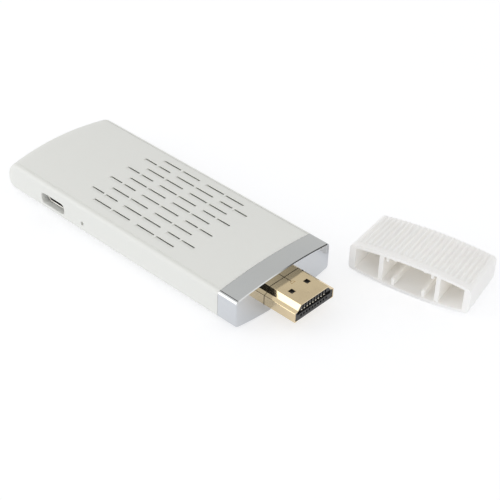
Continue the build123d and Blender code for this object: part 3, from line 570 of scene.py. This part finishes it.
class DONGLE_OT_board(bpy.types.Operator):
    """Dress the circuit board and what is soldered to it"""

    bl_idname = "dongle.board"
    bl_label = "Circuit board"

    def execute(self, context):
        look = context.scene.board_look
        laminate, shader = new_material("board_laminate")
        values = {
            "Mask Colour": tuple(look.mask_colour),
            "Track Colour": tuple(look.track_colour),
            "Track Pitch": look.track_pitch,
        }
        place_group(laminate, shader, printed_board(), values)
        shader.inputs["Coat Weight"].default_value = 0.3
        dress(laminate, "circuit_board", "radio_module")
        moulding = plastic(
            "chip_moulding",
            (0.022, 0.022, 0.024),
            roughness=0.55,
            cloudiness=0.1,
            grain_size=0.1 * MILLIMETRE,
            grain_depth=0.003 * MILLIMETRE,
        )
        dress(moulding, "main_processor", "memory_chips", "flash_chip", "power_chip")
        ferrite = plastic("ferrite", (0.07, 0.07, 0.073), roughness=0.6, cloudiness=0.15)
        dress(ferrite, "power_inductors")
        ceramic = plastic("fired_ceramic", (0.36, 0.25, 0.15), roughness=0.45, cloudiness=0.12)
        dress(ceramic, "ceramic_capacitors")
        glaze = plastic("resistor_glaze", (0.02, 0.02, 0.022), roughness=0.3, cloudiness=0.05)
        dress(glaze, "chip_resistors")
        tin = metal(
            "tinned_sheet",
            (0.70, 0.69, 0.67),
            roughness=0.3,
            tarnish_colour=(0.5, 0.48, 0.45),
            tarnish=0.3,
        )
        dress(tin, "main_crystal", "wifi_aerial", "radio_shield")
        dress(metal("screw_steel", (0.58, 0.58, 0.58), roughness=0.3), "board_screws")
        lens = plastic("led_lens", (0.90, 0.92, 0.86), roughness=0.25, cloudiness=0.1, clearness=0.7)
        dress(lens, "status_led")
        return {"FINISHED"}


class DONGLE_OT_cooling(bpy.types.Operator):
    """Dress the thermal pad and the heat spreader"""

    bl_idname = "dongle.cooling"
    bl_label = "Cooling"

    def execute(self, context):
        silicone = plastic("pad_silicone", (0.22, 0.28, 0.36), roughness=0.7, cloudiness=0.1)
        dress(silicone, "thermal_pad")
        aluminium = metal(
            "spreader_aluminium",
            (0.66, 0.67, 0.68),
            roughness=0.3,
            tarnish_colour=(0.5, 0.5, 0.5),
            tarnish=0.2,
        )
        dress(aluminium, "heat_spreader")
        return {"FINISHED"}


class DONGLE_OT_cap(bpy.types.Operator):
    """Dress the plug cap in its slightly warmer white"""

    bl_idname = "dongle.cap"
    bl_label = "Plug cap"

    def execute(self, context):
        look = context.scene.plastic_look
        shell = plastic(
            "cap_plastic",
            look.cap_colour,
            roughness=0.5,
            cloudiness=0.02,
            grain_size=look.grain_size,
            grain_depth=look.grain_depth,
            milkiness=0.35,
        )
        dress(shell, "cap")
        return {"FINISHED"}


def make_floor(colour):
    """The pale floor, whose shadows stay but whose open parts read as white."""
    mesh = bpy.data.meshes.new("floor")
    half = FLOOR_HALF_WIDTH
    corners = [(-half, -half, 0), (half, -half, 0), (half, half, 0), (-half, half, 0)]
    mesh.from_pydata(corners, [], [(0, 1, 2, 3)])
    floor = bpy.data.objects.new("floor", mesh)
    floor.location.z = -FLOOR_DROP
    bpy.context.scene.collection.objects.link(floor)
    material, shader = new_material("floor_paper")
    tree = material.node_tree
    shader.inputs["Roughness"].default_value = 0.9
    shader.inputs["Specular IOR Level"].default_value = 0.0
    glow = add_node(tree, "Emission")
    light = add_node(tree, "LightPath")
    seen = scalar(tree, "MAXIMUM", light.outputs["Is Camera Ray"], light.outputs["Is Transmission Ray"])
    mirrored = light.outputs["Is Glossy Ray"]
    paper = add_node(tree, "RGB")
    paper.outputs[0].default_value = (*colour, 1)
    share = pick(tree, mirrored, pick(tree, seen, 1.0, 1.0 - SEEN_LOSS), 1.0 - MIRRORED_LOSS)
    join(tree, tint(tree, paper.outputs[0], share), shader.inputs["Base Color"])
    strength = pick(tree, mirrored, pick(tree, seen, 0.0, SEEN_GLOW), MIRRORED_GLOW)
    join(tree, strength, glow.inputs["Strength"])
    both = add_node(tree, "AddShader")
    join(tree, shader.outputs[0], both.inputs[0])
    join(tree, glow.outputs[0], both.inputs[1])
    join(tree, both.outputs[0], tree.nodes["Material Output"].inputs["Surface"])
    mesh.materials.append(material)


def make_world(look):
    """Soft tent light, dimmer overhead; plate mirrors a darker top and a few things round it."""
    world = bpy.data.worlds.new("studio")
    bpy.context.scene.world = world
    world.use_nodes = True
    tree = world.node_tree
    back = tree.nodes["Background"]
    way = add_node(tree, "TexCoord").outputs["Generated"]
    parts = add_node(tree, "SeparateXYZ")
    join(tree, way, parts.inputs[0])
    height = parts.outputs["Z"]
    level = remap(tree, height, look.sky_low, look.sky_high, *SKY_HEIGHTS)
    for axis, lean in (("X", look.sky_lean_x), ("Y", look.sky_lean_y)):
        level = scalar(tree, "ADD", level, scalar(tree, "MULTIPLY", parts.outputs[axis], lean))
    tent = scalar(tree, "MAXIMUM", level, DIMMEST_SKY)
    mirrored = remap(tree, height, look.mirror_low, look.mirror_high, *MIRROR_HEIGHTS)
    lean = scalar(tree, "MULTIPLY", parts.outputs["Y"], look.mirror_lean_y)
    mirrored = scalar(tree, "ADD", mirrored, lean)
    for middle, middle_angle, rim_angle, patch_level in MIRRORED_PATCHES:
        towards = add_node(tree, "VectorMath", operation="DOT_PRODUCT")
        join(tree, way, towards.inputs[0])
        towards.inputs[1].default_value = Vector(middle).normalized()
        rim = math.cos(math.radians(rim_angle))
        core = math.cos(math.radians(middle_angle))
        patch = remap(tree, towards.outputs["Value"], 1.0, patch_level, rim, core)
        mirrored = scalar(tree, "MULTIPLY", mirrored, patch)
    light = add_node(tree, "LightPath")
    glossy = light.outputs["Is Glossy Ray"]
    lighting = pick(tree, glossy, tent, mirrored)
    strength = pick(tree, light.outputs["Is Camera Ray"], lighting, 1.0)
    join(tree, strength, back.inputs["Strength"])
    white = add_node(tree, "RGB")
    white.outputs[0].default_value = (1, 1, 1, 1)
    warm = add_node(tree, "RGB")
    warm.outputs[0].default_value = MIRROR_TINT
    colour = blend_colours(tree, glossy, white.outputs[0], warm.outputs[0])
    join(tree, colour, back.inputs["Color"])


def make_lamp(name, place, target, size, power):
    """A square soft lamp at a place, facing a target."""
    data = bpy.data.lights.new(name, "AREA")
    data.size = size
    data.energy = power
    lamp = bpy.data.objects.new(name, data)
    lamp.location = place
    lamp.rotation_mode = "QUATERNION"
    lamp.rotation_quaternion = (Vector(target) - Vector(place)).to_track_quat("-Z", "Y")
    bpy.context.scene.collection.objects.link(lamp)


def make_camera(look):
    """The camera at the photograph's place and angle."""
    azimuth, elevation, roll = look.camera_azimuth, look.camera_elevation, look.camera_roll
    level = Vector((math.cos(azimuth), math.sin(azimuth), 0))
    forward = Vector((
        -math.sin(azimuth) * math.cos(elevation),
        math.cos(azimuth) * math.cos(elevation),
        -math.sin(elevation),
    ))
    upright = level.cross(forward)
    right = level * math.cos(roll) + upright * math.sin(roll)
    up = upright * math.cos(roll) - level * math.sin(roll)
    turn = Matrix((right, up, -forward)).transposed()
    data = bpy.data.cameras.new("camera")
    data.sensor_width = SENSOR_WIDTH
    data.lens = look.camera_lens
    data.clip_start = NEAREST_SEEN
    data.clip_end = FARTHEST_SEEN
    camera = bpy.data.objects.new("camera", data)
    camera.matrix_world = Matrix.Translation(look.camera_place) @ turn.to_4x4()
    bpy.context.scene.collection.objects.link(camera)
    bpy.context.scene.camera = camera


class DONGLE_OT_stage(bpy.types.Operator):
    """Set up the floor, the light and the camera"""

    bl_idname = "dongle.stage"
    bl_label = "Stage"

    def execute(self, context):
        look = context.scene.studio_look
        make_floor(look.floor_colour)
        make_world(look)
        make_lamp("key_lamp", LAMP_PLACE, (0, 0, 0), look.lamp_size, look.lamp_power)
        make_camera(look)
        context.scene.view_settings.view_transform = "Standard"
        context.scene.cycles.diffuse_bounces = DIFFUSE_BOUNCES
        context.scene.cycles.max_bounces = MOST_BOUNCES
        return {"FINISHED"}


STEPS = (
    DONGLE_OT_housing,
    DONGLE_OT_bezel,
    DONGLE_OT_plug,
    DONGLE_OT_socket,
    DONGLE_OT_reset_switch,
    DONGLE_OT_board,
    DONGLE_OT_cooling,
    DONGLE_OT_cap,
    DONGLE_OT_stage,
)


class DONGLE_PT_panel(bpy.types.Panel):
    """Lists the steps that dress the dongle"""

    bl_idname = "DONGLE_PT_panel"
    bl_label = "Display Dongle"
    bl_space_type = "VIEW_3D"
    bl_region_type = "UI"
    bl_category = "Dongle"

    def draw(self, context):
        scene = context.scene
        for look in (scene.plastic_look, scene.metal_look, scene.board_look, scene.studio_look):
            for name in look.bl_rna.properties.keys():
                if name not in ("rna_type", "name"):
                    self.layout.prop(look, name)
        for step in STEPS:
            self.layout.operator(step.bl_idname)


LOOKS = {
    "plastic_look": PlasticLook,
    "metal_look": MetalLook,
    "board_look": BoardLook,
    "studio_look": StudioLook,
}


def register():
    """Register the classes and hang the looks on the scene."""
    for kind in (*LOOKS.values(), *STEPS, DONGLE_PT_panel):
        bpy.utils.register_class(kind)
    for name, kind in LOOKS.items():
        setattr(bpy.types.Scene, name, bpy.props.PointerProperty(type=kind))


def unregister():
    """Take the looks off the scene and unregister the classes."""
    for name in LOOKS:
        delattr(bpy.types.Scene, name)
    for kind in reversed((*LOOKS.values(), *STEPS, DONGLE_PT_panel)):
        bpy.utils.unregister_class(kind)


def main():
    """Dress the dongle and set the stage."""
    register()
    for step in STEPS:
        group, name = step.bl_idname.split(".")
        getattr(getattr(bpy.ops, group), name)()


if __name__ == "__main__":
    main()
